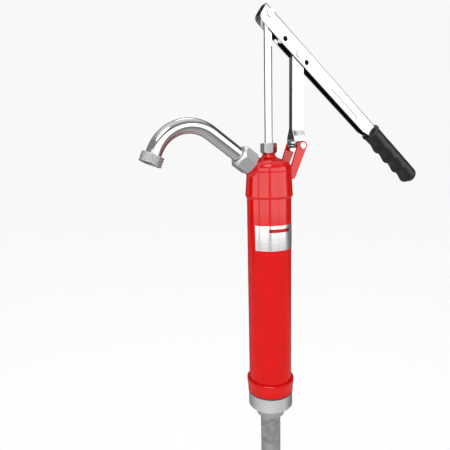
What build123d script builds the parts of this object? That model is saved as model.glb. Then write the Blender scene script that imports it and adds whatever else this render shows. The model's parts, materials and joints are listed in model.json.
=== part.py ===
from build123d import *
from math import cos, pi, radians, sin
import os

# Lever-action drum pump. Millimetres, +Z up.
# The origin is on the barrel's axis, in the plane of the face that seats on the drum's 2 inch bung.
# The lever and the spout lie in the XZ plane: the lever goes towards +X, the spout towards -X.

os.makedirs("parts", exist_ok=True)

# ---------------------------------------------------------------- driving dimensions
RUN = 0.05                      # radial clearance of a running fit
BARREL_R = 28.5
BARREL_WALL = 1.5
BORE_R = BARREL_R - BARREL_WALL
COLLAR_H = 20.0                 # painted collar at the foot
COLLAR_FOOT_R = 30.4
COLLAR_TOP_R = 31.8
BARREL_FOOT = 5.0               # the barrel stands on a shoulder in the collar
BARREL_TOP = 277.0
BUNG_R = 29.8                   # 2 inch pipe thread, crest radius
BUNG_LENGTH = 20.0

HEAD_FOOT = 266.5
HEAD_LIP_R = 30.4
HEAD_SHOULDER_R = 28.4
NECK_TOP = 322.0
NECK_R = 7.4
GLAND_TOP = 335.0
GLAND_FLATS = 18.2
ROD_R = 5.0

# spout: a boss on the head carries the union nut, and the tube runs in line with the boss
SPOUT_RISE = 35.0               # degrees above level
SPOUT_AXIS_Z = 290.4            # where the boss axis crosses the barrel's axis
BOSS_R = 12.5
BOSS_FILLET = 1.5
BOSS_END = 35.0                 # along the boss axis
NUT_END = 55.0
NUT_FLATS = 27.0
SPOUT_R = 9.0
SPOUT_WALL = 1.2
SPOUT_STRAIGHT_END = 100.0      # along the boss axis
SPOUT_BEND_R = 47.2
SPOUT_BEND = 100.7              # degrees turned by the bend
SPOUT_TAIL = 13.8
OUTLET_R = 13.2                 # 3/4 inch pipe thread, crest radius
OUTLET_LENGTH = 10.8

# linkage pivots, as (X, Z), at rest with the rod drawn right up
ROD_PIVOT = (0.0, 487.0)
LINK_TOP = (44.0, 444.5)
LINK_FOOT = (44.0, 331.0)
PIN_R = 2.5
FULCRUM_R = 3.0

LEVER_DROP = 37.2               # degrees below level at rest
LEVER_HALF = 6.0
SHEET = 1.5
LEVER_INNER = LEVER_HALF - SHEET
WEB_TOP = 5.9                   # above the rod pivot, across the lever
FLANGE_FOOT = -15.0
SHANK_START = 214.0             # along the lever, where the channel closes
SHANK_END = 334.0
GRIP_START = 225.0
GRIP_END = 345.0

LINK_HALF_TOP = 4.2
LINK_HALF_FOOT = 8.5
LINK_SHEET = 1.7
LINK_BACK = 34.6                # X of the link's web
LINK_FRONT = 51.9
LINK_FLARE = (337.0, 357.0)     # Z range over which the link widens
LINK_WEB_FOOT = 336.0
LINK_WEB_TOP = 443.0
WEB_CUT = 26.0                  # height of the opening cut in the web past each end
LINK_FRONT_FOOT = 315.0         # the outline's ends, cut back later to the round ends
LINK_FRONT_TOP = 460.0

EAR_INNER = 10.0
EAR_OUTER = 13.0

# piston, at rest
PISTON_Z = 150.0
PISTON_H = 12.0
ROD_STEP_R = 4.0
VALVE_LIFT = 3.0
VALVE_DISC_H = 2.0

# foot valve
SEAT_BOTTOM = -10.0
SEAT_TOP = -5.0
SEAT_R = 9.0
BALL_R = 12.0
BALL_LIFT = 5.0
CHAMBER_R = 17.0

# suction tube, three sections pushed together; each entry is outer radius, top and foot
TUBE_WALL = 1.2
TUBES = {
    "upper": (13.5, -14.0, -300.0),
    "middle": (12.0, -24.0, -316.0),
    "lower": (10.5, -34.0, -330.0),
}
FERRULE_H = 16.0
STRAINER_FOOT = -346.0

# ---------------------------------------------------------------- planes
rise = radians(SPOUT_RISE)
spout_dir = Vector(-cos(rise), 0, sin(rise))


def boss_plane(distance):
    """A plane across the boss axis, that far from the barrel's axis, its x axis along +Y."""
    return Plane(
        origin=Vector(0, 0, SPOUT_AXIS_Z) + spout_dir * distance, x_dir=(0, 1, 0), z_dir=spout_dir
    )


drop = radians(LEVER_DROP)
lever_plane = Plane(
    origin=(ROD_PIVOT[0], 0, ROD_PIVOT[1]), x_dir=(cos(drop), 0, -sin(drop)), z_dir=(0, -1, 0)
)


def on_lever(point):
    """A pivot's (X, Z) as (along, across) the lever from the rod pivot."""
    dx = point[0] - ROD_PIVOT[0]
    dz = point[1] - ROD_PIVOT[1]
    return (dx * cos(drop) - dz * sin(drop), dx * sin(drop) + dz * cos(drop))


def lever_section(distance):
    """A plane across the lever, that far from the rod pivot: x along +Y, y towards the web."""
    origin = lever_plane.from_local_coords(Vector(distance, 0, 0))
    return Plane(origin=origin, x_dir=(0, 1, 0), z_dir=lever_plane.x_dir)


# ---------------------------------------------------------------- barrel and foot
with BuildPart() as barrel:
    with BuildSketch(Plane.XY.offset(BARREL_FOOT)):
        Circle(BARREL_R)
        Circle(BORE_R, mode=Mode.SUBTRACT)
    extrude(amount=BARREL_TOP - BARREL_FOOT)
barrel.part.label = "barrel"
export_step(barrel.part, "parts/barrel.step")

COLLAR_MIDDLE = (30.8, 9.5)      # where the flare towards the top begins
GASKET_R = 30.2
GASKET_H = 2.0
BUSH_NECK_R = 26.0
RELIEF_R = BUNG_R - 0.6         # the thread runs out at the seat plane
with BuildPart() as base_collar:
    with BuildSketch(Plane.XZ):
        with BuildLine():
            Polyline(
                (RELIEF_R, GASKET_H), (COLLAR_FOOT_R, GASKET_H), COLLAR_MIDDLE,
                (COLLAR_TOP_R, COLLAR_H - 3.5), (COLLAR_TOP_R, COLLAR_H - 0.8),
                (COLLAR_TOP_R - 0.8, COLLAR_H), (BARREL_R, COLLAR_H),
                (BARREL_R, BARREL_FOOT), (BUSH_NECK_R, BARREL_FOOT), (BUSH_NECK_R, GASKET_H), close=True
            )
        make_face()
    revolve(axis=Axis.Z)
base_collar.part.label = "base_collar"
export_step(base_collar.part, "parts/base_collar.step")

with BuildPart() as bung_gasket:
    with BuildSketch(Plane.XY):
        Circle(GASKET_R)
        Circle(RELIEF_R, mode=Mode.SUBTRACT)
    extrude(amount=GASKET_H)
bung_gasket.part.label = "bung_gasket"
export_step(bung_gasket.part, "parts/bung_gasket.step")

# Threaded bush: its crest is the 2 inch thread, its top plugs the barrel, its hub takes the tube.
HUB_R = 19.0
HUB_FOOT = -34.0
BUSH_TOP = 12.0
THREAD_CHAMFER = 1.5
upper_r, upper_top, upper_foot = TUBES["upper"]
with BuildPart() as bung_bush:
    with BuildSketch(Plane.XZ):
        with BuildLine():
            Polyline(
                (upper_r, HUB_FOOT), (HUB_R, HUB_FOOT), (HUB_R, -BUNG_LENGTH),
                (BUNG_R - THREAD_CHAMFER, -BUNG_LENGTH), (BUNG_R, THREAD_CHAMFER - BUNG_LENGTH),
                (BUNG_R, 0), (RELIEF_R, 0), (RELIEF_R, GASKET_H), (BUSH_NECK_R, GASKET_H),
                (BUSH_NECK_R, BARREL_FOOT),
                (BORE_R, BARREL_FOOT), (BORE_R, BUSH_TOP), (CHAMBER_R, BUSH_TOP),
                (CHAMBER_R, SEAT_BOTTOM), (SEAT_R + 2, SEAT_BOTTOM), (SEAT_R + 2, upper_top),
                (upper_r, upper_top), close=True
            )
        make_face()
    revolve(axis=Axis.Z)
    bottom_rim = bung_bush.edges().filter_by(GeomType.CIRCLE).group_by(Axis.Z)[0].sort_by(SortBy.RADIUS)[-1]
    chamfer(bottom_rim, 1.0)
bung_bush.part.label = "bung_bush"
export_step(bung_bush.part, "parts/bung_bush.step")

# ---------------------------------------------------------------- foot valve
BALL_Z = SEAT_TOP + (BALL_R**2 - SEAT_R**2) ** 0.5
with BuildPart() as foot_valve_seat:
    with BuildSketch(Plane.XZ):
        with BuildLine():
            Polyline(
                (SEAT_R, SEAT_BOTTOM), (CHAMBER_R, SEAT_BOTTOM), (CHAMBER_R, SEAT_TOP - 1),
                (SEAT_R + 2, SEAT_TOP - 1), (SEAT_R, SEAT_TOP), close=True
            )
        make_face()
    revolve(axis=Axis.Z)
foot_valve_seat.part.label = "foot_valve_seat"
export_step(foot_valve_seat.part, "parts/foot_valve_seat.step")

with BuildPart() as foot_valve_ball:
    with Locations((0, 0, BALL_Z + 0.02)):
        Sphere(BALL_R)
foot_valve_ball.part.label = "foot_valve_ball"
export_step(foot_valve_ball.part, "parts/foot_valve_ball.step")

CAGE_INNER = BALL_R + 0.6
CAGE_TOP = BALL_Z + BALL_R + BALL_LIFT + 2.5
with BuildPart() as foot_valve_cage:
    with BuildSketch(Plane.XY.offset(SEAT_TOP - 1)):
        Circle(CHAMBER_R)
        Circle(CAGE_INNER, mode=Mode.SUBTRACT)
    extrude(amount=CAGE_TOP - SEAT_TOP + 1)
    with BuildSketch(Plane.XY.offset(CAGE_TOP - 2)):
        Circle(CAGE_INNER)
    extrude(amount=2)
    with BuildSketch(Plane.XY.offset(CAGE_TOP - 2)):
        with PolarLocations(8.0, 6):
            Circle(2.6)
    extrude(amount=2, mode=Mode.SUBTRACT)
    with BuildSketch(Plane.XY.offset(BUSH_TOP + 1)):
        with PolarLocations(CHAMBER_R, 6):
            Rectangle(8, 5)
    extrude(amount=6, mode=Mode.SUBTRACT)
foot_valve_cage.part.label = "foot_valve_cage"
export_step(foot_valve_cage.part, "parts/foot_valve_cage.step")

# ---------------------------------------------------------------- suction tube
for name, (radius, top, foot) in TUBES.items():
    with BuildPart() as tube:
        with BuildSketch(Plane.XY.offset(foot)):
            Circle(radius)
            Circle(radius - TUBE_WALL, mode=Mode.SUBTRACT)
        extrude(amount=top - foot)
    tube.part.label = f"{name}_suction_tube"
    export_step(tube.part, f"parts/{name}_suction_tube.step")

# Each outer section ends in a crimped ferrule that guides the section inside it.
for outer, inner in (("upper", "middle"), ("middle", "lower")):
    radius, top, foot = TUBES[outer]
    guide = TUBES[inner][0] + RUN
    with BuildPart() as ferrule:
        with BuildSketch(Plane.XZ):
            with BuildLine():
                Polyline(
                    (guide, foot - 6), (radius + 1.4, foot - 6), (radius + 2.0, foot - 5),
                    (radius + 2.0, foot + FERRULE_H - 8), (radius, foot + FERRULE_H - 6),
                    (radius, foot), (guide, foot), close=True
                )
            make_face()
        revolve(axis=Axis.Z)
    ferrule.part.label = f"{outer}_tube_ferrule"
    export_step(ferrule.part, f"parts/{outer}_tube_ferrule.step")

# Each inner section carries a bush near its top that slides in the section around it.
for outer, inner in (("upper", "middle"), ("middle", "lower")):
    radius, top, foot = TUBES[inner]
    slide = TUBES[outer][0] - TUBE_WALL - RUN
    with BuildPart() as bush:
        with BuildSketch(Plane.XY.offset(top - 14)):
            Circle(slide)
            Circle(radius, mode=Mode.SUBTRACT)
        extrude(amount=10)
    bush.part.label = f"{inner}_tube_bush"
    export_step(bush.part, f"parts/{inner}_tube_bush.step")

lower_r, lower_top, lower_foot = TUBES["lower"]
STRAINER_R = 13.0
with BuildPart() as strainer:
    with BuildSketch(Plane.XZ):
        with BuildLine():
            Polyline(
                (0, STRAINER_FOOT), (STRAINER_R - 2, STRAINER_FOOT), (STRAINER_R, STRAINER_FOOT + 2),
                (STRAINER_R, lower_foot + 7), (lower_r, lower_foot + 7), (lower_r, lower_foot),
                (lower_r - TUBE_WALL, lower_foot), (lower_r - TUBE_WALL, STRAINER_FOOT + 2),
                (0, STRAINER_FOOT + 2), close=True
            )
        make_face()
    revolve(axis=Axis.Z)
    with BuildSketch(Plane.XY.offset(STRAINER_FOOT + 4)):
        with PolarLocations(STRAINER_R - 1, 8):
            Rectangle(7, 3)
    extrude(amount=9, mode=Mode.SUBTRACT)
strainer.part.label = "strainer"
export_step(strainer.part, "parts/strainer.step")

# ---------------------------------------------------------------- head casting
SEAL_H = 1.5
STUFFING_R = 6.2                # spigot inside the gland nut
STUFFING_TOP = 330.0
CAVITY_R = 26.0
with BuildPart() as head_outline:
    with BuildSketch(Plane.XZ):
        with BuildLine():
            wall = Line((HEAD_LIP_R, HEAD_FOOT + 3.0), (HEAD_SHOULDER_R, 299.5))
            shoulder = ThreePointArc(wall @ 1, (27.2, 307.6), (22.5, 312.6))
            crown = Line(shoulder @ 1, (12.0, 316.4))
            Polyline(
                crown @ 1, (9.8, 317.6), (8.6, 319.4), (NECK_R, NECK_TOP), (STUFFING_R, NECK_TOP),
                (STUFFING_R, STUFFING_TOP), (0, STUFFING_TOP), (0, HEAD_FOOT),
                (HEAD_LIP_R - 1.6, HEAD_FOOT), wall @ 0
            )
        make_face()
    revolve(axis=Axis.Z)
    with BuildSketch(boss_plane(0)):
        Circle(BOSS_R + 0.8)
    extrude(amount=BOSS_END - 4)
    with BuildSketch(boss_plane(BOSS_END - 4)):
        Circle(BOSS_R)
    extrude(amount=4)
    boss_root = head_outline.edges().filter_by(
        lambda e: e.geom_type not in (GeomType.CIRCLE, GeomType.LINE) and e.center().X < -5
    )
    fillet(boss_root, BOSS_FILLET)

with BuildPart() as head:
    add(head_outline.part)
    with BuildSketch(Plane.XZ):
        with BuildLine():
            Polyline(
                (0, HEAD_FOOT), (BARREL_R, HEAD_FOOT), (BARREL_R, BARREL_TOP + SEAL_H),
                (CAVITY_R, BARREL_TOP + SEAL_H), (CAVITY_R, 296.0), (21.0, 306.0), (8.5, 311.0),
                (0, 311.0), close=True
            )
        make_face()
    revolve(axis=Axis.Z, mode=Mode.SUBTRACT)
    with BuildSketch(Plane.XY.offset(300)):
        Circle(ROD_R + 0.8)
    extrude(amount=STUFFING_TOP - 300, mode=Mode.SUBTRACT)
    with BuildSketch(boss_plane(16)):
        Circle(SPOUT_R - 1)
    extrude(amount=BOSS_END - 16, mode=Mode.SUBTRACT)
head.part.label = "head"
export_step(head.part, "parts/head.step")

with BuildPart() as head_seal:
    with BuildSketch(Plane.XY.offset(BARREL_TOP)):
        Circle(BARREL_R)
        Circle(BORE_R, mode=Mode.SUBTRACT)
    extrude(amount=SEAL_H)
head_seal.part.label = "head_seal"
export_step(head_seal.part, "parts/head_seal.step")

with BuildPart() as rod_bush:
    with BuildSketch(Plane.XY.offset(311)):
        Circle(ROD_R + 0.8)
        Circle(ROD_R + RUN, mode=Mode.SUBTRACT)
    extrude(amount=STUFFING_TOP - 311)
rod_bush.part.label = "rod_bush"
export_step(rod_bush.part, "parts/rod_bush.step")

with BuildPart() as gland_packing:
    with BuildSketch(Plane.XY.offset(STUFFING_TOP)):
        Circle(STUFFING_R)
        Circle(ROD_R + RUN, mode=Mode.SUBTRACT)
    extrude(amount=3)
gland_packing.part.label = "gland_packing"
export_step(gland_packing.part, "parts/gland_packing.step")

with BuildPart() as gland_nut:
    with BuildSketch(Plane.XY.offset(NECK_TOP)):
        RegularPolygon(GLAND_FLATS / 2, 6, major_radius=False, rotation=25)
    extrude(amount=GLAND_TOP - NECK_TOP)
    with BuildSketch(Plane.XZ):
        with BuildLine():
            Polyline(
                (0, NECK_TOP), (GLAND_FLATS / 2 - 0.6, NECK_TOP), (GLAND_FLATS / 2 + 2, NECK_TOP + 2.6),
                (GLAND_FLATS / 2 + 2, GLAND_TOP - 1.2), (GLAND_FLATS / 2 - 0.2, GLAND_TOP), (0, GLAND_TOP),
                close=True
            )
        make_face()
    revolve(axis=Axis.Z, mode=Mode.INTERSECT)
    with BuildSketch(Plane.XY.offset(NECK_TOP)):
        Circle(STUFFING_R)
    extrude(amount=STUFFING_TOP + 3 - NECK_TOP, mode=Mode.SUBTRACT)
    with BuildSketch(Plane.XY.offset(NECK_TOP)):
        Circle(ROD_R + 0.3)
    extrude(amount=GLAND_TOP - NECK_TOP, mode=Mode.SUBTRACT)
gland_nut.part.label = "gland_nut"
export_step(gland_nut.part, "parts/gland_nut.step")

# ---------------------------------------------------------------- spout
# Along the boss axis: boss end, washer, the spout's flange, then the nut's shoulder.
WASHER_H = 1.5
FLANGE_H = 3.0
FLANGE_R = 11.6
washer_at = BOSS_END
flange_at = BOSS_END + WASHER_H
shoulder_at = flange_at + FLANGE_H
with BuildPart() as spout_washer:
    with BuildSketch(boss_plane(washer_at)):
        Circle(FLANGE_R)
        Circle(SPOUT_R - 1, mode=Mode.SUBTRACT)
    extrude(amount=WASHER_H)
spout_washer.part.label = "spout_washer"
export_step(spout_washer.part, "parts/spout_washer.step")

NUT_TURN = 57.0                 # puts a corner of the hexagon almost towards -Y and up
NUT_START = 33.8
with BuildPart() as spout_nut:
    with BuildSketch(boss_plane(NUT_START)):
        RegularPolygon(NUT_FLATS / 2, 6, major_radius=False, rotation=NUT_TURN)
    extrude(amount=NUT_END - NUT_START)
    with BuildSketch(boss_plane(NUT_START)):
        Circle(BOSS_R)
    extrude(amount=shoulder_at - NUT_START, mode=Mode.SUBTRACT)
    with BuildSketch(boss_plane(NUT_START)):
        Circle(SPOUT_R + 0.3)
    extrude(amount=NUT_END - NUT_START, mode=Mode.SUBTRACT)
    with BuildSketch(Plane(origin=boss_plane(0).origin, x_dir=spout_dir, z_dir=(0, 1, 0))):
        with BuildLine():
            Polyline(
                (NUT_START, 0), (NUT_START, NUT_FLATS / 2), (NUT_START + 1.4, NUT_FLATS / 2 + 2.4),
                (NUT_END - 4.5, NUT_FLATS / 2 + 2.4), (NUT_END, SPOUT_R + 2.6), (NUT_END, 0), close=True
            )
        make_face()
    revolve(axis=Axis(boss_plane(0).origin, spout_dir), mode=Mode.INTERSECT)
spout_nut.part.label = "spout_nut"
export_step(spout_nut.part, "parts/spout_nut.step")

# The tube's centre line in the XZ plane: straight, one bend that turns the flow down, a short tail.
line_start = Vector(0, SPOUT_AXIS_Z) + Vector(-cos(rise), sin(rise)) * (flange_at + FLANGE_H)
bend_start = Vector(0, SPOUT_AXIS_Z) + Vector(-cos(rise), sin(rise)) * SPOUT_STRAIGHT_END
bend_centre = bend_start + Vector(-sin(rise), -cos(rise)) * SPOUT_BEND_R


def bend_point(turned):
    """The centre line's point where the bend has turned that many degrees."""
    heading = radians(180 - SPOUT_RISE + turned)
    return bend_centre + Vector(sin(heading), -cos(heading)) * SPOUT_BEND_R


tail_heading = radians(180 - SPOUT_RISE + SPOUT_BEND)
tail_dir = Vector(cos(tail_heading), sin(tail_heading))
tail_end = bend_point(SPOUT_BEND) + tail_dir * SPOUT_TAIL
with BuildPart() as spout_tube:
    with BuildLine(Plane.XZ) as centre_line:
        Line((line_start.X, line_start.Y), (bend_start.X, bend_start.Y))
        ThreePointArc(
            (bend_start.X, bend_start.Y),
            (bend_point(SPOUT_BEND / 2).X, bend_point(SPOUT_BEND / 2).Y),
            (bend_point(SPOUT_BEND).X, bend_point(SPOUT_BEND).Y),
        )
        Line((bend_point(SPOUT_BEND).X, bend_point(SPOUT_BEND).Y), (tail_end.X, tail_end.Y))
    with BuildSketch(boss_plane(flange_at + FLANGE_H)):
        Circle(SPOUT_R)
        Circle(SPOUT_R - SPOUT_WALL, mode=Mode.SUBTRACT)
    sweep(path=centre_line.wires()[0])
    with BuildSketch(boss_plane(flange_at)):
        Circle(FLANGE_R)
        Circle(SPOUT_R - SPOUT_WALL, mode=Mode.SUBTRACT)
    extrude(amount=FLANGE_H)
spout_tube.part.label = "spout_tube"
export_step(spout_tube.part, "parts/spout_tube.step")

outlet_dir = Vector(tail_dir.X, 0, tail_dir.Y)
outlet_plane = Plane(origin=(tail_end.X, 0, tail_end.Y), x_dir=(0, 1, 0), z_dir=outlet_dir)
with BuildPart() as outlet_fitting:
    with BuildSketch(outlet_plane.offset(-OUTLET_LENGTH + 1)):
        Circle(OUTLET_R)
        Circle(SPOUT_R, mode=Mode.SUBTRACT)
    extrude(amount=OUTLET_LENGTH)
    rims = outlet_fitting.edges().filter_by(GeomType.CIRCLE).sort_by(SortBy.RADIUS)[-2:]
    chamfer(rims, 0.6)
outlet_fitting.part.label = "outlet_fitting"
export_step(outlet_fitting.part, "parts/outlet_fitting.step")

# ---------------------------------------------------------------- bracket ears on the head
EAR_TIP = 289.0
for name, side in (("near_ear", -1), ("far_ear", 1)):
    with BuildPart() as ear:
        with BuildSketch(Plane.XZ.offset(-side * EAR_INNER)):
            with BuildLine():
                rising = Line((23.7, 298.0), (37.0, 332.0))
                top = ThreePointArc(rising @ 1, (43.3, 337.2), (51.3, 330.5))
                falling = Line(top @ 1, (31.7, EAR_TIP + 1))
                Polyline(falling @ 1, (28.8, EAR_TIP), (24.0, EAR_TIP), rising @ 0)
            make_face()
            with Locations(LINK_FOOT):
                Circle(FULCRUM_R, mode=Mode.SUBTRACT)
        extrude(amount=-side * (EAR_OUTER - EAR_INNER))
        add(head_outline.part, mode=Mode.SUBTRACT)
    ear.part.label = name
    export_step(ear.part, f"parts/{name}.step")

with BuildPart() as fulcrum_pin:
    with BuildSketch(Plane.XZ):
        with Locations(LINK_FOOT):
            Circle(FULCRUM_R)
    extrude(amount=EAR_OUTER + 1.4, both=True)
    for side in (-1, 1):
        with BuildSketch(Plane.XZ.offset(side * EAR_OUTER)):
            with Locations(LINK_FOOT):
                Circle(4.4)
        extrude(amount=side * 1.4)
    chamfer(fulcrum_pin.edges().group_by(Axis.Y)[0] + fulcrum_pin.edges().group_by(Axis.Y)[-1], 0.5)
fulcrum_pin.part.label = "fulcrum_pin"
export_step(fulcrum_pin.part, "parts/fulcrum_pin.step")

with BuildPart() as fulcrum_washers:
    for side in (-1, 1):
        with BuildSketch(Plane.XZ.offset(side * (LINK_HALF_FOOT + 0.1))):
            with Locations(LINK_FOOT):
                Circle(6.0)
                Circle(FULCRUM_R, mode=Mode.SUBTRACT)
        extrude(amount=side * (EAR_INNER - LINK_HALF_FOOT - 0.1))
fulcrum_washers.part.label = "fulcrum_washers"
export_step(fulcrum_washers.part, "parts/fulcrum_washers.step")

# ---------------------------------------------------------------- link
LINK_END_R = 5.6                # round end inside the lever
LINK_FOOT_R = 7.4


link_fronts = []
for inset in (0, LINK_SHEET):
    slim = LINK_HALF_TOP - inset
    wide = LINK_HALF_FOOT - inset
    low, high = LINK_FLARE
    with BuildSketch() as link_front:
        with BuildLine():
            Polyline((0, LINK_FRONT_TOP), (slim, LINK_FRONT_TOP), (slim, high))
            Spline((slim, high), (wide, low), tangents=((0, -1), (0, -1)))
            Polyline((wide, low), (wide, LINK_FRONT_FOOT), (0, LINK_FRONT_FOOT), (0, LINK_FRONT_TOP))
        make_face()
        mirror(about=Plane.YZ)
    link_fronts.append(link_front.sketch)

with BuildPart() as link:
    with BuildSketch(Plane.YZ.offset(LINK_BACK)):
        add(link_fronts[0])
    extrude(amount=LINK_FRONT - LINK_BACK)
    folds = link.edges().filter_by(
        lambda e: abs(e.center().X - LINK_BACK) < 0.01 and abs(e.center().Y) > 1
    )
    fillet(folds, 1.4)
    with BuildSketch(Plane.YZ.offset(LINK_BACK + LINK_SHEET)):
        add(link_fronts[1])
    extrude(amount=LINK_FRONT - LINK_BACK, mode=Mode.SUBTRACT)
    with BuildSketch(Plane.YZ.offset(LINK_BACK)):
        with Locations((0, LINK_WEB_FOOT - WEB_CUT / 2), (0, LINK_WEB_TOP + WEB_CUT / 2)):
            Rectangle(2 * (LINK_HALF_FOOT - LINK_SHEET), WEB_CUT)
    extrude(amount=LINK_SHEET, mode=Mode.SUBTRACT)
    with BuildSketch(Plane.XZ):
        with BuildLine():
            foot = ThreePointArc(
                (LINK_FOOT[0] + LINK_FOOT_R, LINK_FOOT[1]), (LINK_FOOT[0], LINK_FOOT[1] - LINK_FOOT_R),
                (LINK_FOOT[0] - LINK_FOOT_R, LINK_FOOT[1])
            )
            end = ThreePointArc(
                (LINK_TOP[0] - LINK_END_R, LINK_TOP[1]), (LINK_TOP[0], LINK_TOP[1] + LINK_END_R),
                (LINK_TOP[0] + LINK_END_R, LINK_TOP[1])
            )
            Polyline(foot @ 1, (LINK_BACK, LINK_FOOT[1] + 8), (LINK_BACK, LINK_TOP[1] - 4), end @ 0)
            Polyline(end @ 1, (LINK_FRONT, LINK_TOP[1] - 13), (LINK_FRONT, LINK_FOOT[1] + 8), foot @ 0)
        make_face()
    extrude(amount=LINK_HALF_FOOT, both=True, mode=Mode.INTERSECT)
    with BuildSketch(Plane.XZ):
        with Locations(LINK_FOOT):
            Circle(FULCRUM_R + RUN)
        with Locations(LINK_TOP):
            Circle(PIN_R)
    extrude(amount=LINK_HALF_FOOT, both=True, mode=Mode.SUBTRACT)
link.part.label = "link"
export_step(link.part, "parts/link.step")

with BuildPart() as link_bush:
    with BuildSketch(Plane.XZ):
        with Locations(LINK_TOP):
            Circle(PIN_R)
    extrude(amount=LINK_HALF_TOP, both=True)
link_bush.part.label = "link_bush"
export_step(link_bush.part, "parts/link_bush.step")

# ---------------------------------------------------------------- lever
PANEL = (127.0, 189.0, -9.0, 4.8)   # pressed panel: from, to, centre across, width
PANEL_DEPTH = 0.6
PANEL_SLOPE = 50
BEND_EDGE_R = 2.4               # outside radius of the sheet's two long bends
PLAIN_HOLES = ((33.6, -8.2), (75.8, -8.4))
PLAIN_HOLE_R = 3.3
RIVET_R = PIN_R + 0.5
RIVET_HEAD_R = 4.8
RIVET_HEAD_H = 0.9
SHANK_FOOT = -12.0
with BuildPart() as lever:
    with BuildSketch(lever_plane):
        with BuildLine():
            nose = ThreePointArc((-3.0, FLANGE_FOOT), (-7.7, FLANGE_FOOT + 1.9), (-9.8, FLANGE_FOOT + 5.6))
            Polyline(
                nose @ 1, (-10.5, WEB_TOP), (SHANK_END, WEB_TOP), (SHANK_END, SHANK_FOOT),
                (SHANK_START + 8, SHANK_FOOT), (SHANK_START - 4, FLANGE_FOOT), nose @ 0
            )
        make_face()
    extrude(amount=LEVER_HALF, both=True)
    bends = lever.edges().filter_by(
        lambda e: abs(e.center().Y) > LEVER_HALF - 0.1
        and e.length > 100
        and lever_plane.to_local_coords(e.center()).Y > WEB_TOP - 0.1
    )
    fillet(bends, BEND_EDGE_R)
    with BuildSketch(lever_plane):
        with BuildLine():
            Polyline(
                (-30, WEB_TOP - SHEET), (SHANK_END + 5, WEB_TOP - SHEET),
                (SHANK_END + 5, SHANK_FOOT + SHEET), (SHANK_START + 8, SHANK_FOOT + SHEET),
                (SHANK_START - 2, FLANGE_FOOT - 5), (-30, FLANGE_FOOT - 5), close=True
            )
        make_face()
    extrude(amount=LEVER_INNER, both=True, mode=Mode.SUBTRACT)
    with BuildSketch(lever_plane):
        with Locations(*PLAIN_HOLES):
            Circle(PLAIN_HOLE_R)
        with Locations((0, 0)):
            Circle(PIN_R)
        with Locations(on_lever(LINK_TOP)):
            Circle(RIVET_R)
    extrude(amount=LEVER_HALF, both=True, mode=Mode.SUBTRACT)
    for side in (-1, 1):
        with BuildSketch(lever_plane.offset(side * LEVER_HALF)):
            with Locations(((PANEL[0] + PANEL[1]) / 2, PANEL[2])):
                SlotOverall(PANEL[1] - PANEL[0], PANEL[3])
        extrude(amount=-side * PANEL_DEPTH, taper=PANEL_SLOPE, mode=Mode.SUBTRACT)
lever.part.label = "lever"
export_step(lever.part, "parts/lever.step")

# Two flush rivets mark the link pivot; they stop at the inside faces of the lever.
with BuildPart() as link_rivets:
    for side in (-1, 1):
        with BuildSketch(lever_plane.offset(side * LEVER_INNER)):
            with Locations(on_lever(LINK_TOP)):
                Circle(RIVET_R)
        extrude(amount=side * (LEVER_HALF - LEVER_INNER))
        with BuildSketch(lever_plane.offset(side * LEVER_HALF)):
            with Locations(on_lever(LINK_TOP)):
                Circle(RIVET_HEAD_R)
        extrude(amount=side * RIVET_HEAD_H)
link_rivets.part.label = "link_rivets"
export_step(link_rivets.part, "parts/link_rivets.step")

with BuildPart() as rod_pin:
    with BuildSketch(lever_plane):
        Circle(PIN_R)
    extrude(amount=LEVER_HALF, both=True)
    for side in (-1, 1):
        with BuildSketch(lever_plane.offset(side * LEVER_HALF)):
            Circle(RIVET_HEAD_R)
        extrude(amount=side * RIVET_HEAD_H)
rod_pin.part.label = "rod_pin"
export_step(rod_pin.part, "parts/rod_pin.step")

# Grip: oval sections along the lever, with four finger swells on the underside.
SWELL_PITCH = 25.0
SWELL_START = GRIP_START + 12.0     # each swell rises slowly over the pitch and drops at its end
SWELL_HEIGHT = 2.4


def grip_section(along):
    """Half width, top and foot of the grip at that distance along the lever."""
    top = 8.6
    foot = -15.4
    phase = (along - SWELL_START) / SWELL_PITCH
    if phase > 0:
        rise = min(1.0, max(0.0, (phase % 1 - 0.3) / 0.5), (1 - phase % 1) / 0.14)
        foot -= SWELL_HEIGHT * (0.5 - 0.5 * cos(pi * rise))
    half = 11.8
    if along < GRIP_START + 4:
        top += 1.4
        foot -= 0.8
        half += 1.0
    round_off = max(0.0, (along - (GRIP_END - 12)) / 12)
    shrink = (1 - round_off**2) ** 0.5 if round_off < 1 else 0.0
    middle = (top + foot) / 2
    shrink = max(shrink, 0.22)
    return half * shrink, middle + (top - middle) * shrink, middle + (foot - middle) * shrink


stations = [GRIP_START, GRIP_START + 3, GRIP_START + 6]
stations += [GRIP_START + 12 + 4.0 * step for step in range(25)]
stations += [GRIP_END - 5, GRIP_END - 2, GRIP_END - 0.3]
with BuildPart() as grip:
    for along in stations:
        half, top, foot = grip_section(along)
        with BuildSketch(lever_section(along)):
            with Locations((0, (top + foot) / 2)):
                RectangleRounded(2 * half, top - foot, 0.92 * half)
    loft()
    with BuildSketch(lever_section(GRIP_START - 1)):
        with Locations((0, (WEB_TOP + SHANK_FOOT) / 2)):
            Rectangle(2 * LEVER_HALF, WEB_TOP - SHANK_FOOT)
    extrude(amount=SHANK_END - GRIP_START + 1, mode=Mode.SUBTRACT)
grip.part.label = "grip"
export_step(grip.part, "parts/grip.step")

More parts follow.
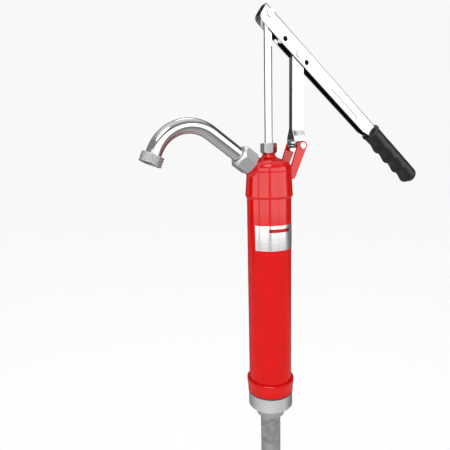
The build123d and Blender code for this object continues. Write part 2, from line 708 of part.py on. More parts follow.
# ---------------------------------------------------------------- rod and piston
EYE_HALF = LEVER_INNER - 0.3
EYE_R = 4.1                     # turns under the lever's web
EYE_FOOT = 450.0
ROD_SHOULDER = PISTON_Z + PISTON_H + VALVE_DISC_H + VALVE_LIFT + 3
ROD_FOOT = PISTON_Z - 17
with BuildPart() as piston_rod:
    with BuildSketch(Plane.XY.offset(ROD_SHOULDER)):
        Circle(ROD_R)
    extrude(amount=ROD_PIVOT[1] - 4 - ROD_SHOULDER)
    with BuildSketch(Plane.XZ):
        with Locations(ROD_PIVOT):
            Circle(EYE_R)
        with BuildLine():
            Polyline(
                (-EYE_R, ROD_PIVOT[1]), (EYE_R, ROD_PIVOT[1]), (ROD_R, ROD_PIVOT[1] - 4),
                (-ROD_R, ROD_PIVOT[1] - 4), close=True
            )
        make_face()
    extrude(amount=EYE_HALF, both=True)
    with BuildSketch(Plane.XY.offset(EYE_FOOT)):
        with Locations((0, EYE_HALF + 5), (0, -EYE_HALF - 5)):
            Rectangle(20, 10)
    extrude(amount=60, mode=Mode.SUBTRACT)
    with BuildSketch(Plane.XZ):
        with Locations(ROD_PIVOT):
            Circle(PIN_R + RUN)
    extrude(amount=10, both=True, mode=Mode.SUBTRACT)
    with BuildSketch(Plane.XY.offset(ROD_FOOT)):
        Circle(ROD_STEP_R)
    extrude(amount=ROD_SHOULDER - ROD_FOOT)
piston_rod.part.label = "piston_rod"
export_step(piston_rod.part, "parts/piston_rod.step")

with BuildPart() as piston_body:
    with BuildSketch(Plane.XY.offset(PISTON_Z)):
        Circle(BORE_R - 0.8)
        Circle(ROD_STEP_R, mode=Mode.SUBTRACT)
        with PolarLocations(12.5, 6):
            Circle(3.6, mode=Mode.SUBTRACT)
    extrude(amount=PISTON_H)
piston_body.part.label = "piston_body"
export_step(piston_body.part, "parts/piston_body.step")

with BuildPart() as piston_cup:
    with BuildSketch(Plane.XZ):
        with BuildLine():
            Polyline(
                (18.5, PISTON_Z - 2.5), (BORE_R - 3.5, PISTON_Z - 2.5), (BORE_R - RUN, PISTON_Z - 9),
                (BORE_R - RUN, PISTON_Z - 0.5), (BORE_R - 1, PISTON_Z), (18.5, PISTON_Z), close=True
            )
        make_face()
    revolve(axis=Axis.Z)
piston_cup.part.label = "piston_cup"
export_step(piston_cup.part, "parts/piston_cup.step")

with BuildPart() as cup_follower:
    with BuildSketch(Plane.XY.offset(PISTON_Z - 5)):
        Circle(22.0)
        Circle(ROD_STEP_R, mode=Mode.SUBTRACT)
        with PolarLocations(12.5, 6):
            Circle(3.6, mode=Mode.SUBTRACT)
    extrude(amount=2.5)
    with BuildSketch(Plane.XY.offset(PISTON_Z - 2.5)):
        Circle(18.5)
        Circle(ROD_STEP_R, mode=Mode.SUBTRACT)
        with PolarLocations(12.5, 6):
            Circle(3.6, mode=Mode.SUBTRACT)
    extrude(amount=2.5)
cup_follower.part.label = "cup_follower"
export_step(cup_follower.part, "parts/cup_follower.step")

with BuildPart() as piston_nut:
    with BuildSketch(Plane.XY.offset(PISTON_Z - 12)):
        RegularPolygon(6.5, 6, major_radius=False)
        Circle(ROD_STEP_R, mode=Mode.SUBTRACT)
    extrude(amount=7)
piston_nut.part.label = "piston_nut"
export_step(piston_nut.part, "parts/piston_nut.step")

with BuildPart() as valve_stop:
    with BuildSketch(Plane.XY.offset(ROD_SHOULDER - 3)):
        Circle(11.0)
        Circle(ROD_STEP_R, mode=Mode.SUBTRACT)
    extrude(amount=3)
valve_stop.part.label = "valve_stop"
export_step(valve_stop.part, "parts/valve_stop.step")

with BuildPart() as piston_valve_disc:
    with BuildSketch(Plane.XY.offset(PISTON_Z + PISTON_H)):
        Circle(18.0)
        Circle(ROD_STEP_R + RUN, mode=Mode.SUBTRACT)
    extrude(amount=VALVE_DISC_H)
piston_valve_disc.part.label = "piston_valve_disc"
export_step(piston_valve_disc.part, "parts/piston_valve_disc.step")

# ---------------------------------------------------------------- label plate
LABEL = (201.8, 233.8)
LABEL_FROM = -162.5             # degrees about Z
LABEL_SPAN = 150.0
with BuildPart() as label_plate:
    with BuildSketch(Plane.XZ):
        with Locations((BARREL_R + 0.15, (LABEL[0] + LABEL[1]) / 2)):
            Rectangle(0.3, LABEL[1] - LABEL[0])
    revolve(axis=Axis.Z, revolution_arc=LABEL_SPAN)
label_plate.part = label_plate.part.rotate(Axis.Z, LABEL_FROM)
label_plate.part.label = "label_plate"
export_step(label_plate.part, "parts/label_plate.step")
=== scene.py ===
"""Lever-action drum pump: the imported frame, finer pieces for its threads, grip and welds, and materials."""
import json
from math import cos, pi, radians, sin, sqrt

import bpy
from mathutils import Matrix, Vector


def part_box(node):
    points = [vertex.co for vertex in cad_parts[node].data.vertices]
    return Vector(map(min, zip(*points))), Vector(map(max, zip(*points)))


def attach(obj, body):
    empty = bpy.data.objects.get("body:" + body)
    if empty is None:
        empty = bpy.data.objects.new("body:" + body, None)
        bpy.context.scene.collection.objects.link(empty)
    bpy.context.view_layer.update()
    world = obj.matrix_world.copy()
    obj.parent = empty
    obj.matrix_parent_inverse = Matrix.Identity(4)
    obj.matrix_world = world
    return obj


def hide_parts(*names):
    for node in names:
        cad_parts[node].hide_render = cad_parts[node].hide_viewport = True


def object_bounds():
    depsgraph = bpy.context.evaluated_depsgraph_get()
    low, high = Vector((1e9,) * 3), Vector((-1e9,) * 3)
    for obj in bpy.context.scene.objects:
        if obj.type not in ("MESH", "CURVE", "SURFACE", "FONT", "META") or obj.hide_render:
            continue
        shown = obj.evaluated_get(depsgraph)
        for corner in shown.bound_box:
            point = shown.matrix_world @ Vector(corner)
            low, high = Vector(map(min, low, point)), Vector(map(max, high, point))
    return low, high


MM = 0.001

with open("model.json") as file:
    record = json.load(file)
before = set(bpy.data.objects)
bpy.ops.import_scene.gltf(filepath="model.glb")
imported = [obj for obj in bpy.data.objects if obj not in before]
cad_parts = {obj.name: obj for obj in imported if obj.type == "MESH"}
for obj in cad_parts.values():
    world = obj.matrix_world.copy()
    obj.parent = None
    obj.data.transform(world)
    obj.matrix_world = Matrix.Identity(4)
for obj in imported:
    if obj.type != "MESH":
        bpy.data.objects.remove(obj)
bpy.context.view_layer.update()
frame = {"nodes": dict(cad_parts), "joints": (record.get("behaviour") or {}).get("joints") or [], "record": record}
nodes = frame["nodes"]
mounts = {mount["name"]: mount for mount in frame["record"]["mounts"]}
joints = {joint["name"]: joint for joint in frame["joints"]}


# ---------------------------------------------------------------- mesh helpers
def mesh_piece(name, points, faces):
    """A new object with that mesh, shaded smooth, in the row frame."""
    mesh = bpy.data.meshes.new(name)
    mesh.from_pydata([tuple(point) for point in points], [], faces)
    mesh.validate()
    mesh.update()
    mesh.polygons.foreach_set("use_smooth", [True] * len(mesh.polygons))
    piece = bpy.data.objects.new(name, mesh)
    bpy.context.scene.collection.objects.link(piece)
    return piece


def rings_to_faces(rings, around, closed=False):
    """Quads between rings of points, each ring joined round; closed also joins the last to the first."""
    faces = []
    for ring in range(rings if closed else rings - 1):
        lower = ring * around
        upper = (ring + 1) % rings * around
        for step in range(around):
            after = (step + 1) % around
            faces.append((lower + step, lower + after, upper + after, upper + step))
    return faces


def axis_matrix(origin, direction):
    """Local +Z along direction, local +Y along the row's +Y or as near as may be."""
    z = Vector(direction).normalized()
    x = Vector((0, 1, 0)).cross(z).normalized()
    y = z.cross(x)
    turn = Matrix((x, y, z)).transposed().to_4x4()
    return Matrix.Translation(Vector(origin)) @ turn


THREAD_AROUND = 96
RINGS_PER_TURN = 14
GROOVE_PEAK = 1.15              # over 1, so that the thread's root and crest are flat
GROOVE_FALL = 1.3


def threaded_ring(
    name, place, profile, thread_from, thread_to, crest, depth, pitch, start_runout, end_runout
):
    """A turned piece with a helical thread cut into its outer wall between two heights.

    profile is the closed outline without that wall, as (radius, height) points from the wall's
    top end to its bottom end. place carries local +Z to the row frame.
    """
    around = THREAD_AROUND
    steps = int((thread_to - thread_from) / pitch * RINGS_PER_TURN)
    # A point of the outline without a radius is on the thread, which gives it one.
    outline = [(None, thread_from + (thread_to - thread_from) * step / steps) for step in range(steps + 1)]
    outline += profile
    points = []
    for radius, height in outline:
        for turn in range(around):
            angle = 2 * pi * turn / around
            if radius is None:
                phase = (height / pitch - turn / around) % 1.0
                groove = max(0.0, min(1.0, GROOVE_PEAK - abs(2 * phase - 1) * GROOVE_FALL))
                fade = min(1.0, (height - thread_from) / start_runout, (thread_to - height) / end_runout)
                local = crest - depth * groove * max(0.0, fade)
            else:
                local = radius
            points.append(place @ Vector((local * cos(angle), local * sin(angle), height)))
    return mesh_piece(name, points, rings_to_faces(len(outline), around, closed=True))


EDGE_ANGLE = radians(30)         # sharper than this is an edge to round
SPLIT_ANGLE = radians(50)


def soften(node, width):
    """Rounds a CAD node's sharp edges a little, with modifiers only."""
    piece = nodes[node]
    weld = piece.modifiers.new("weld", "WELD")
    weld.merge_threshold = 0.00001
    bevel = piece.modifiers.new("edge_round", "BEVEL")
    bevel.width = width
    bevel.segments = 3
    bevel.limit_method = "ANGLE"
    bevel.angle_limit = EDGE_ANGLE
    bevel.harden_normals = False
    bevel.use_clamp_overlap = True


# ---------------------------------------------------------------- threads
bush_low, bush_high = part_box("bung_bush")
hub_foot = bush_low.z
bush_top = bush_high.z
BUNG_CREST = mounts["bung_thread"]["dims"]["r_mm"] * MM
BUNG_PITCH = 2.209 * MM          # 11.5 threads an inch
BUNG_DEPTH = 1.3 * MM
THREAD_FOOT = -20.0 * MM
THREAD_FOOT_R = 28.1 * MM
RELIEF_R = 29.2 * MM             # the thread runs out at the seat
RELIEF_TOP = 2.0 * MM
NECK_R = 26.0 * MM
PLUG_R = 27.0 * MM               # plugs the barrel
PLUG_FOOT = 5.0 * MM
SOCKET_R = 17.0 * MM
SOCKET_FLOOR = -10.0 * MM
WATERWAY_R = 11.0 * MM
TUBE_SEAT_R = 13.5 * MM          # holds the suction tube
TUBE_SEAT_TOP = -14.0 * MM
HUB_R = 19.0 * MM
HUB_CHAMFER = 1.0 * MM
BUNG_OUTLINE = [
    (RELIEF_R, 0.0), (RELIEF_R, RELIEF_TOP), (NECK_R, RELIEF_TOP), (NECK_R, PLUG_FOOT),
    (PLUG_R, PLUG_FOOT), (PLUG_R, bush_top), (SOCKET_R, bush_top), (SOCKET_R, SOCKET_FLOOR),
    (WATERWAY_R, SOCKET_FLOOR), (WATERWAY_R, TUBE_SEAT_TOP), (TUBE_SEAT_R, TUBE_SEAT_TOP),
    (TUBE_SEAT_R, hub_foot), (HUB_R - HUB_CHAMFER, hub_foot), (HUB_R, hub_foot + HUB_CHAMFER),
    (HUB_R, THREAD_FOOT), (THREAD_FOOT_R, THREAD_FOOT),
]
bung_bush = threaded_ring(
    "bung_bush_threaded", Matrix.Identity(4), BUNG_OUTLINE, thread_from=THREAD_FOOT + 1.2 * MM,
    thread_to=0.0, crest=BUNG_CREST, depth=BUNG_DEPTH, pitch=BUNG_PITCH,
    start_runout=0.7 * MM, end_runout=2.0 * MM
)

outlet = mounts["outlet_thread"]
outlet_place = axis_matrix(outlet["pos_m"], outlet["axis"])
OUTLET_CREST = outlet["dims"]["r_mm"] * MM
OUTLET_PITCH = 1.814 * MM        # 14 threads an inch
OUTLET_DEPTH = 1.1 * MM
OUTLET_BORE = 9.0 * MM
OUTLET_END_R = 12.4 * MM
OUTLET_RIM = 0.6 * MM            # plain rim past each end of the mount's length
OUTLET_LEAD = 0.3 * MM
half_outlet = outlet["dims"]["length_mm"] * MM / 2 + OUTLET_RIM
OUTLET_OUTLINE = [
    (OUTLET_END_R, half_outlet), (OUTLET_BORE, half_outlet),
    (OUTLET_BORE, -half_outlet), (OUTLET_END_R, -half_outlet),
]
outlet_ring = threaded_ring(
    "outlet_fitting_threaded", outlet_place, OUTLET_OUTLINE, thread_from=-half_outlet + OUTLET_LEAD,
    thread_to=half_outlet - OUTLET_LEAD, crest=OUTLET_CREST, depth=OUTLET_DEPTH, pitch=OUTLET_PITCH,
    start_runout=0.8 * MM, end_runout=0.6 * MM
)
for threaded in (bung_bush, outlet_ring):
    split = threaded.modifiers.new("sharp", "EDGE_SPLIT")
    split.split_angle = SPLIT_ANGLE

# ---------------------------------------------------------------- grip
rod_pivot = Vector(joints["lever_swing"]["pos_m"])
LEVER_DROP = radians(37.2)
along = Vector((cos(LEVER_DROP), 0, -sin(LEVER_DROP)))
across = Vector((sin(LEVER_DROP), 0, cos(LEVER_DROP)))
side = Vector((0, 1, 0))
# The grip, in millimetres along and across the lever.
GRIP_START = 225.4
GRIP_END = 344.4
GRIP_SECTION = (11.5, 8.3, -15.1)   # half width, top and foot
GRIP_MOUTH = (7.2, 6.4, -12.6)      # the same, where the mouth turns in to meet the steel
GRIP_ROUND = 12.0                   # length of the rounded tip
GRIP_POWER = 0.86                   # under 1, so the oval is a little square
GRIP_AROUND = 64
LIP_SECTION = (1.1, 1.4, 0.8)       # how far the lip at the mouth stands proud
LIP_LENGTH = 2.4
LIP_FADE = 2.0
SWELL_PITCH = 25.0
SWELL_START = 237.4
SWELL_HEIGHT = 3.0
SWELL_HOLLOW = 0.4                  # depth of the hollows between the swells
SWELL_REST = 0.25                   # parts of the pitch: flat, rising and falling
SWELL_RISE = 0.55
SWELL_FALL = 0.18


def smooth_step(value):
    """Eases from 0 to 1 as the value goes from 0 to 1."""
    value = max(0.0, min(1.0, value))
    return value * value * (3 - 2 * value)


def grip_ring(distance):
    """Half width, top and foot of the grip, in millimetres, at that distance along the lever."""
    half, top, foot = GRIP_SECTION
    # Each swell rises slowly and falls quickly at its end, for the fingers.
    phase = (distance - SWELL_START) / SWELL_PITCH
    if phase > 0:
        swell = smooth_step(min((phase % 1 - SWELL_REST) / SWELL_RISE, (1 - phase % 1) / SWELL_FALL))
        foot -= SWELL_HEIGHT * swell - SWELL_HOLLOW
    lip = 1 - smooth_step((distance - GRIP_START - LIP_LENGTH) / LIP_FADE)
    rounded = sqrt(max(0.0, 1 - (1 - min(1.0, (distance - GRIP_START + 0.25) / 1.4)) ** 2))
    half += lip * LIP_SECTION[0]
    top += lip * LIP_SECTION[1]
    foot -= lip * LIP_SECTION[2]
    close = max(0.0, (distance - (GRIP_END - GRIP_ROUND)) / GRIP_ROUND)
    shrink = sqrt(max(0.0, 1 - close**2)) * (0.9 + 0.1 * rounded)
    middle = (top + foot) / 2
    return half * shrink, middle + (top - middle) * shrink, middle + (foot - middle) * shrink


def grip_point(distance, angle, half, top, foot):
    """A point of the grip's oval section; the underside is a little narrower than the back."""
    middle = (top + foot) / 2
    height = (top - foot) / 2
    c = cos(angle)
    s = sin(angle)
    y = half * abs(c) ** GRIP_POWER * (1 if c > 0 else -1)
    n = height * abs(s) ** GRIP_POWER * (1 if s > 0 else -1)
    if n < 0:
        y *= 1 - 0.10 * (n / height) ** 2
    return rod_pivot + along * distance * MM + across * (middle + n) * MM + side * y * MM


def grip_sleeve():
    """The moulded grip: an open mouth on the steel, finger swells below and a closed round tip."""
    around = GRIP_AROUND
    stations = [GRIP_START + 0.5 * step for step in range(12)]
    stations += [GRIP_START + 6 + 1.5 * step for step in range(67)]
    stations += [GRIP_END - GRIP_ROUND * cos(radians(90 - 6 * step)) for step in range(14, -1, -1)][1:-1]
    stations = sorted(station for station in stations if station < GRIP_END - 0.05)
    points = []
    mouth = []
    for distance in stations:
        half, top, foot = grip_ring(distance)
        for turn in range(around):
            points.append(grip_point(distance, 2 * pi * turn / around, half, top, foot))
    # The mouth turns in to meet the steel.
    for turn in range(around):
        angle = 2 * pi * turn / around
        mouth.append(grip_point(GRIP_START + 0.3, angle, *GRIP_MOUTH))
    half, top, foot = grip_ring(GRIP_END)
    tip = rod_pivot + along * GRIP_END * MM + across * (top + foot) / 2 * MM
    rings = len(stations)
    points = mouth + points + [tip]
    faces = rings_to_faces(rings + 1, around)
    last = rings * around
    faces += [(last + step, last + (step + 1) % around, len(points) - 1) for step in range(around)]
    return mesh_piece("grip_sleeve", points, faces)


grip = grip_sleeve()


# ---------------------------------------------------------------- weld beads
# Heights and radii in millimetres.
HEAD_FOOT, HEAD_FOOT_R = 269.5, 30.4
SHOULDER, SHOULDER_R = 299.5, 28.4
DOME_FALL = 0.055
DOME_POWER = 1.75
WELD_FOOT = 289.6
WELD_HEIGHT = 19.0
WELD_STEPS = 24
WELD_R = 0.9
WELD_PROUD = 0.1
WELD_OUT = 0.25
BEAD_SIZE = 0.88                 # mean size of the ripple, and how much it swells and shrinks
BEAD_RIPPLE = 0.12
RIPPLE_TURN = 1.9


def bead(name, path, radius):
    """A rippled weld bead along a path of points."""
    around = 12
    points = []
    count = len(path)
    for index, place in enumerate(path):
        ahead = path[min(index + 1, count - 1)] - path[max(index - 1, 0)]
        turn = axis_matrix(place, ahead)
        ends = min(1.0, (index + 0.4) / 3, (count - 0.6 - index) / 3)
        size = radius * (BEAD_SIZE + BEAD_RIPPLE * cos(index * RIPPLE_TURN)) * ends
        for step in range(around):
            angle = 2 * pi * step / around
            points.append(turn @ Vector((size * cos(angle), size * sin(angle), 0)))
    faces = rings_to_faces(count, around)
    faces.append(tuple(reversed(range(around))))
    faces.append(tuple(range((count - 1) * around, count * around)))
    return mesh_piece(name, points, faces)


def head_radius(height):
    """Radius of the head's outer wall in millimetres, up to the shoulder."""
    if height < SHOULDER:
        return HEAD_FOOT_R + (SHOULDER_R - HEAD_FOOT_R) * (height - HEAD_FOOT) / (SHOULDER - HEAD_FOOT)
    return SHOULDER_R - DOME_FALL * (height - SHOULDER) ** DOME_POWER


def ear_foot(y, sense):
    """The line where an ear's face meets the head, in the row frame."""
    path = []
    for step in range(WELD_STEPS + 1):
        height = WELD_FOOT + WELD_HEIGHT * step / WELD_STEPS
        radius = head_radius(height)
        path.append(Vector((sqrt(radius**2 - y**2) + WELD_PROUD, y + WELD_OUT * sense, height)) * MM)
    return path


welds = []
for label, sense in (("near", -1), ("far", 1)):
    # Each face of the ear, how far it is from the middle plane, and the side its bead is on.
    for face, y, out in (("outer", 13.0, 1), ("inner", 10.0, -1)):
        welds.append(bead(f"{label}_ear_{face}_weld", ear_foot(sense * y, sense * out), WELD_R * MM))


# ---------------------------------------------------------------- materials
MIX_FACTOR, MIX_FIRST, MIX_SECOND, MIX_RESULT = 0, 6, 7, 2      # a colour Mix node's sockets


def new_material(name):
    """A material, its node tree and its shader."""
    material = bpy.data.materials.new(name)
    material.use_nodes = True
    tree = material.node_tree
    return material, tree, tree.nodes["Principled BSDF"]


def coordinates(tree, scale=(1, 1, 1), rotation=(0, 0, 0)):
    """Row-frame coordinates, stretched, so that one grain runs over a whole piece."""
    source = tree.nodes.new("ShaderNodeTexCoord")
    mapping = tree.nodes.new("ShaderNodeMapping")
    mapping.inputs["Scale"].default_value = scale
    mapping.inputs["Rotation"].default_value = rotation
    tree.links.new(source.outputs["Object"], mapping.inputs["Vector"])
    return mapping.outputs["Vector"]


def noise(tree, vector, scale, detail=3.0, roughness=0.5):
    """A noise value over those coordinates."""
    texture = tree.nodes.new("ShaderNodeTexNoise")
    texture.inputs["Scale"].default_value = scale
    texture.inputs["Detail"].default_value = detail
    texture.inputs["Roughness"].default_value = roughness
    tree.links.new(vector, texture.inputs["Vector"])
    return texture.outputs["Fac"]


def spread(tree, value, low, high, start=0.3, end=0.7):
    """Maps a noise value onto low..high."""
    node = tree.nodes.new("ShaderNodeMapRange")
    node.inputs["From Min"].default_value = start
    node.inputs["From Max"].default_value = end
    node.inputs["To Min"].default_value = low
    node.inputs["To Max"].default_value = high
    tree.links.new(value, node.inputs["Value"])
    return node.outputs["Result"]


def mix_colour(tree, factor, first, second):
    """A colour from first to second, as the factor goes from 0 to 1."""
    node = tree.nodes.new("ShaderNodeMix")
    node.data_type = "RGBA"
    node.inputs[MIX_FIRST].default_value = (*first, 1)
    node.inputs[MIX_SECOND].default_value = (*second, 1)
    tree.links.new(factor, node.inputs[MIX_FACTOR])
    return node.outputs[MIX_RESULT]


def set_colour(tree, shader, factor, first, second):
    """The surface's colour, from first to second by the factor."""
    tree.links.new(mix_colour(tree, factor, first, second), shader.inputs["Base Color"])


def set_roughness(tree, shader, value, low, high, start=0.3, end=0.7):
    """The surface's roughness, a noise value mapped onto low..high."""
    tree.links.new(spread(tree, value, low, high, start, end), shader.inputs["Roughness"])


def bump(tree, shader, height, strength, distance):
    """Relief from a noise value; distance is in metres."""
    node = tree.nodes.new("ShaderNodeBump")
    node.inputs["Strength"].default_value = strength
    node.inputs["Distance"].default_value = distance
    tree.links.new(height, node.inputs["Height"])
    tree.links.new(node.outputs["Normal"], shader.inputs["Normal"])


def red_paint():
    """Thick gloss enamel with a faint orange peel."""
    material, tree, shader = new_material("red_paint")
    where = coordinates(tree)
    tone = spread(tree, noise(tree, where, 35, 4), 0, 1)
    set_colour(tree, shader, tone, (0.54, 0.002, 0.002), (0.60, 0.003, 0.003))
    set_roughness(tree, shader, noise(tree, where, 160, 3), 0.24, 0.34)
    shader.inputs["Specular IOR Level"].default_value = 0.0
    shader.inputs["Coat Weight"].default_value = 1.0
    shader.inputs["Coat Roughness"].default_value = 0.06
    shader.inputs["Coat IOR"].default_value = 1.5
    bump(tree, shader, noise(tree, where, 260, 2), 0.02, 0.0004)
    return material


def plated_steel(name, first, second, rough, grain, rotation=(0, 0, 0)):
    """Plated sheet: fine rolling grain along one direction, small tone changes and rubbed patches."""
    material, tree, shader = new_material(name)
    shader.inputs["Metallic"].default_value = 1.0
    where = coordinates(tree)
    streaks = noise(tree, coordinates(tree, grain, rotation), 60, 6, 0.6)
    cloud = spread(tree, noise(tree, where, 45, 4), 0, 1)
    set_colour(tree, shader, cloud, first, second)
    set_roughness(tree, shader, streaks, rough[0], rough[1])
    bump(tree, shader, streaks, 0.02, 0.0002)
    return material


def chrome(name, tone):
    """Bright plate with faint handling smears."""
    material, tree, shader = new_material(name)
    shader.inputs["Metallic"].default_value = 1.0
    where = coordinates(tree)
    cloud = spread(tree, noise(tree, where, 60, 5), 0, 1)
    darker = tuple(0.93 * part for part in tone)
    set_colour(tree, shader, cloud, darker, tone)
    set_roughness(tree, shader, noise(tree, where, 90, 6, 0.65), 0.05, 0.14)
    bump(tree, shader, noise(tree, where, 160, 2), 0.012, 0.0003)
    return material


def cast_zinc(name, first, second):
    """Tumbled die casting: mottled tone and a lightly pitted skin."""
    material, tree, shader = new_material(name)
    shader.inputs["Metallic"].default_value = 1.0
    where = coordinates(tree)
    mottle = noise(tree, where, 420, 6, 0.7)
    set_colour(tree, shader, spread(tree, mottle, 0, 1), first, second)
    set_roughness(tree, shader, noise(tree, where, 260, 5), 0.40, 0.56)
    bump(tree, shader, mottle, 0.02, 0.0003)
    return material


def galvanised():
    """Drawn galvanised tube: soft spangle and long faint draw lines."""
    material, tree, shader = new_material("galvanised")
    shader.inputs["Metallic"].default_value = 1.0
    where = coordinates(tree)
    spangle = tree.nodes.new("ShaderNodeTexVoronoi")
    spangle.inputs["Scale"].default_value = 160
    tree.links.new(where, spangle.inputs["Vector"])
    grey = tree.nodes.new("ShaderNodeSeparateColor")
    tree.links.new(spangle.outputs["Color"], grey.inputs["Color"])
    tone = grey.outputs["Red"]
    set_colour(tree, shader, tone, (0.52, 0.53, 0.55), (0.66, 0.67, 0.69))
    set_roughness(tree, shader, tone, 0.26, 0.40, 0, 1)
    lines = noise(tree, coordinates(tree, (8, 8, 0.25)), 120, 3)
    bump(tree, shader, lines, 0.02, 0.0002)
    return material


def plain(name, first, second, rough, metallic=0.0, scale=240, strength=0.12):
    """Rubber, fibre or turned brass: a fine even grain."""
    material, tree, shader = new_material(name)
    shader.inputs["Metallic"].default_value = metallic
    where = coordinates(tree)
    grain = noise(tree, where, scale, 4)
    set_colour(tree, shader, spread(tree, grain, 0, 1), first, second)
    set_roughness(tree, shader, grain, rough[0], rough[1])
    bump(tree, shader, grain, strength, 0.0003)
    return material


BAR_X = -2.5 * MM
BAR_UP = 0.80                    # part of the label's height
BAR_HALF_WIDTH = 14.0 * MM
BAR_HALF_HEIGHT = 2.2 * MM


def label_foil():
    """Blank foil with one plain red bar where the real label carries its print."""
    low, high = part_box("label_plate")
    bar_z = low.z + BAR_UP * (high.z - low.z)
    material, tree, shader = new_material("label_foil")
    shader.inputs["Metallic"].default_value = 0.9
    axes = tree.nodes.new("ShaderNodeSeparateXYZ")
    tree.links.new(coordinates(tree), axes.inputs["Vector"])
    within = []
    for axis, middle, half in (("X", BAR_X, BAR_HALF_WIDTH), ("Z", bar_z, BAR_HALF_HEIGHT)):
        test = tree.nodes.new("ShaderNodeMath")
        test.operation = "COMPARE"
        test.inputs[1].default_value = middle
        test.inputs[2].default_value = half
        tree.links.new(axes.outputs[axis], test.inputs[0])
        within.append(test.outputs[0])
    both = tree.nodes.new("ShaderNodeMath")
    both.operation = "MULTIPLY"
    tree.links.new(within[0], both.inputs[0])
    tree.links.new(within[1], both.inputs[1])
    set_colour(tree, shader, both.outputs[0], (0.90, 0.89, 0.88), (0.55, 0.02, 0.02))
    streaks = noise(tree, coordinates(tree, (1, 1, 40)), 60, 5)
    set_roughness(tree, shader, streaks, 0.14, 0.24)
    bump(tree, shader, streaks, 0.01, 0.0002)
    return material


lever_turn = (0, -LEVER_DROP, 0)
finishes = {
    "red_paint": red_paint(),
    "zinc_plate": plated_steel(
        "zinc_plate", (0.50, 0.50, 0.51), (0.57, 0.57, 0.58), (0.12, 0.20), (1, 14, 14), lever_turn
    ),
    "bright_steel": plated_steel(
        "bright_steel", (0.50, 0.50, 0.51), (0.57, 0.57, 0.58), (0.10, 0.16), (1, 1, 1)
    ),
    "chrome_plate": chrome("chrome_plate", (0.62, 0.62, 0.63)),
    "cast_zinc": cast_zinc("cast_zinc", (0.62, 0.62, 0.63), (0.68, 0.68, 0.69)),
    "galvanised": galvanised(),
    "brass": plain("brass", (0.62, 0.42, 0.16), (0.72, 0.52, 0.22), (0.22, 0.34), 1.0),
    "black_rubber": plain("black_rubber", (0.014, 0.014, 0.014), (0.028, 0.028, 0.028), (0.6, 0.8)),
    "packing": plain("packing", (0.72, 0.70, 0.63), (0.84, 0.82, 0.76), (0.5, 0.7)),
    "black_grip": plain(
        "black_grip", (0.002, 0.002, 0.002), (0.005, 0.005, 0.005), (0.34, 0.46), scale=900, strength=0.05
    ),
    "label_foil": label_foil(),
}


def dress(piece, finish):
    """Gives a piece that finish and no other."""
    piece.data.materials.clear()
    piece.data.materials.append(finishes[finish])


for subpart in frame["record"]["subparts"]:
    dress(nodes[subpart["node"]], subpart["material_slot"])
dress(nodes["label_plate"], "label_foil")

NEW_PIECES = [
    (bung_bush, "pump", "cast_zinc", "bung_bush"),
    (outlet_ring, "spout", "cast_zinc", "outlet_fitting"),
    (grip, "lever", "black_grip", "grip"),
]
for piece, body, finish, node in NEW_PIECES:
    dress(piece, finish)
    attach(piece, body)
    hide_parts(node)
for piece in welds:
    dress(piece, "red_paint")
    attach(piece, "pump")

# CAD nodes with rounded edges, and the width of the rounding in millimetres.
edges = (
    ("spout_nut", 0.6), ("gland_nut", 0.35), ("near_ear", 0.4), ("far_ear", 0.4),
    ("lever", 0.25), ("link", 0.25), ("rod_pin", 0.5), ("link_rivets", 0.5), ("fulcrum_pin", 0.5),
)
for node, width in edges:
    soften(node, width * MM)

# ---------------------------------------------------------------- stage, light and camera
low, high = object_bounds()
# The suction tube reaches this much lower with both its slides drawn out, and the floor stays clear of it.
tube_reach = sum(joints[name]["range_m"][1] for name in ("middle_tube_slide", "lower_tube_slide"))
FLOOR_GAP = 4 * MM
floor_z = low.z - tube_reach - FLOOR_GAP
FLOOR_HALF = 12.0
FLOOR_TONE = 0.94
FLOOR_GLOW = 0.14
floor = mesh_piece(
    "floor",
    [(x * FLOOR_HALF, y * FLOOR_HALF, floor_z) for x, y in ((-1, -1), (1, -1), (1, 1), (-1, 1))],
    [(0, 1, 2, 3)],
)
floor_finish, _, floor_shader = new_material("pale_floor")
floor_shader.inputs["Base Color"].default_value = (FLOOR_TONE, FLOOR_TONE, FLOOR_TONE, 1)
floor_shader.inputs["Emission Color"].default_value = (1, 1, 1, 1)
floor_shader.inputs["Emission Strength"].default_value = FLOOR_GLOW
floor_shader.inputs["Roughness"].default_value = 0.7
floor.data.materials.append(floor_finish)
floor.visible_glossy = False        # gloss sees the studio world's own panels instead


def area_light(name, place, target, size, power):
    """A soft box that shows in reflections but not to the camera."""
    data = bpy.data.lights.new(name, "AREA")
    data.shape = "RECTANGLE"
    data.size, data.size_y = size
    data.energy = power
    light = bpy.data.objects.new(name, data)
    light.location = place
    light.rotation_euler = (Vector(target) - Vector(place)).to_track_quat("-Z", "Y").to_euler()
    light.visible_camera = False
    bpy.context.scene.collection.objects.link(light)


area_light("back", place=(0.5, 0.9, 2.0), target=(0, 0, 0.3), size=(0.7, 0.7), power=3)

SUN_POWER = 0.7
SUN_SPREAD = radians(30)
SUN_TOWARDS = Vector((0.45, 0.5, -1.0))
sun_data = bpy.data.lights.new("sun", "SUN")
sun_data.energy = SUN_POWER
sun_data.angle = SUN_SPREAD
sun = bpy.data.objects.new("sun", sun_data)
sun.rotation_euler = SUN_TOWARDS.to_track_quat("-Z", "Y").to_euler()
bpy.context.scene.collection.objects.link(sun)

# Brightness of the studio's parts.
ROOM = 0.32
MULLION = 0.6
WINDOW = 2.4
BACKDROP = 0.94
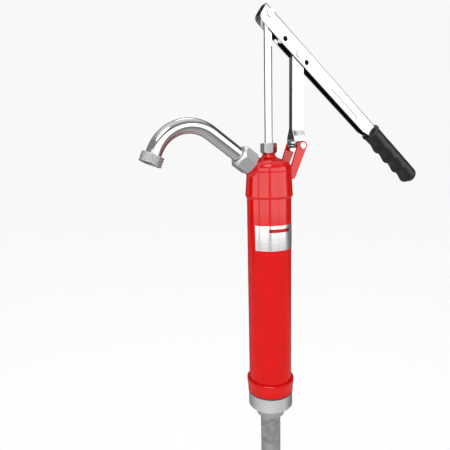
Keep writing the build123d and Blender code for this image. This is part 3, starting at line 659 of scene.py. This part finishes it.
# Soft panels: towards, brightness, half width of the core and of the soft edge in degrees.
PANELS = [
    ((0.0, 0.0, -1.0), 0.60, 26, 62),
    ((0.1, 0.2, 1.0), 0.95, 28, 48),
    ((0.48, 0.86, 0.0), 0.13, 38, 52),
    ((1.0, 0.15, 0.2), 0.07, 28, 38),
    ((-0.755, 0.656, 0.0), 0.03, 12, 18),
    ((-0.515, 0.857, -0.12), 0.02, 4, 8),
]
# The row of windows: elevations, its ends and its panes' sides in degrees from -X towards -Y, soft edges.
ROW_HEIGHT = (-8, 25)
ROW_ENDS = (-32, 148)
PANES = ((-30.4, -1.8), (7.6, 52.0), (66.2, 101.6), (106.0, 147.0))
HEIGHT_EDGE = 0.07
SIDE_EDGE = 0.05


def studio_world():
    """A dim room with a row of tall windows round the front, which give metal and gloss their edges.

    The camera itself sees a plain pale backdrop, in every view.
    """
    world = bpy.data.worlds.new("studio")
    world.use_nodes = True
    tree = world.node_tree
    direction = tree.nodes.new("ShaderNodeTexCoord").outputs["Generated"]
    axes = tree.nodes.new("ShaderNodeSeparateXYZ")
    tree.links.new(direction, axes.inputs["Vector"])

    def calculate(operation, first, second):
        """A Math node on two numbers or sockets."""
        node = tree.nodes.new("ShaderNodeMath")
        node.operation = operation
        for socket, value in zip(node.inputs, (first, second)):
            if isinstance(value, (int, float)):
                socket.default_value = value
            else:
                tree.links.new(value, socket)
        return node.outputs[0]

    def between(value, low, high, edge):
        """One inside low..high, falling to nothing over the edge outside it."""
        rise = spread(tree, value, 0, 1, low - edge, low)
        fall = spread(tree, value, 1, 0, high, high + edge)
        return calculate("MULTIPLY", rise, fall)

    def blend(factor, below, brightness):
        """Lays a grey of that brightness over what is below, or over the bare room."""
        mix = tree.nodes.new("ShaderNodeMix")
        mix.data_type = "RGBA"
        mix.inputs[MIX_SECOND].default_value = (brightness, brightness, brightness, 1)
        tree.links.new(factor, mix.inputs[MIX_FACTOR])
        if below is None:
            mix.inputs[MIX_FIRST].default_value = (ROOM, ROOM, ROOM, 1)
        else:
            tree.links.new(below, mix.inputs[MIX_FIRST])
        return mix.outputs[MIX_RESULT]

    colour = None
    for towards, brightness, core, edge in PANELS:
        dot = tree.nodes.new("ShaderNodeVectorMath")
        dot.operation = "DOT_PRODUCT"
        dot.inputs[1].default_value = Vector(towards).normalized()
        tree.links.new(direction, dot.inputs[0])
        inside = spread(tree, dot.outputs["Value"], 0, 1, cos(radians(edge)), cos(radians(core)))
        colour = blend(inside, colour, brightness)
    # Azimuths are measured from -X towards -Y, so that the row of windows has no break in it.
    minus_y = calculate("MULTIPLY", axes.outputs["Y"], -1)
    minus_x = calculate("MULTIPLY", axes.outputs["X"], -1)
    azimuth = calculate("ARCTAN2", minus_y, minus_x)
    height = between(axes.outputs["Z"], *(sin(radians(end)) for end in ROW_HEIGHT), HEIGHT_EDGE)
    row = between(azimuth, *(radians(end) for end in ROW_ENDS), SIDE_EDGE)
    colour = blend(calculate("MULTIPLY", height, row), colour, MULLION)
    for pane in PANES:
        within = between(azimuth, *(radians(end) for end in pane), SIDE_EDGE)
        colour = blend(calculate("MULTIPLY", height, within), colour, WINDOW)
    paths = tree.nodes.new("ShaderNodeLightPath")
    seen = tree.nodes.new("ShaderNodeMix")
    seen.data_type = "RGBA"
    seen.inputs[MIX_SECOND].default_value = (BACKDROP, BACKDROP, BACKDROP, 1)
    tree.links.new(paths.outputs["Is Camera Ray"], seen.inputs[MIX_FACTOR])
    tree.links.new(colour, seen.inputs[MIX_FIRST])
    tree.links.new(seen.outputs[MIX_RESULT], tree.nodes["Background"].inputs["Color"])
    bpy.context.scene.world = world


studio_world()

CAMERA_PLACE = Vector((-326.9, -466.9, 330.9)) * MM
CAMERA_FORWARD = Vector((0.481, 0.860, -0.172)).normalized()
CAMERA_ROLL = radians(-1.42)
SENSOR_MM = 36.0
LENS_MM = 35.5
level = CAMERA_FORWARD.cross(Vector((0, 0, 1))).normalized()
upright = level.cross(CAMERA_FORWARD)
right = level * cos(CAMERA_ROLL) + upright * sin(CAMERA_ROLL)
up = upright * cos(CAMERA_ROLL) - level * sin(CAMERA_ROLL)
lens = bpy.data.cameras.new("camera")
lens.sensor_width = SENSOR_MM
lens.lens = LENS_MM
lens.clip_start = 0.01
camera = bpy.data.objects.new("camera", lens)
bpy.context.scene.collection.objects.link(camera)
camera_turn = Matrix((right, up, -CAMERA_FORWARD)).transposed().to_4x4()
camera.matrix_world = Matrix.Translation(CAMERA_PLACE) @ camera_turn
bpy.context.scene.camera = camera
bpy.context.scene.view_settings.view_transform = "Standard"
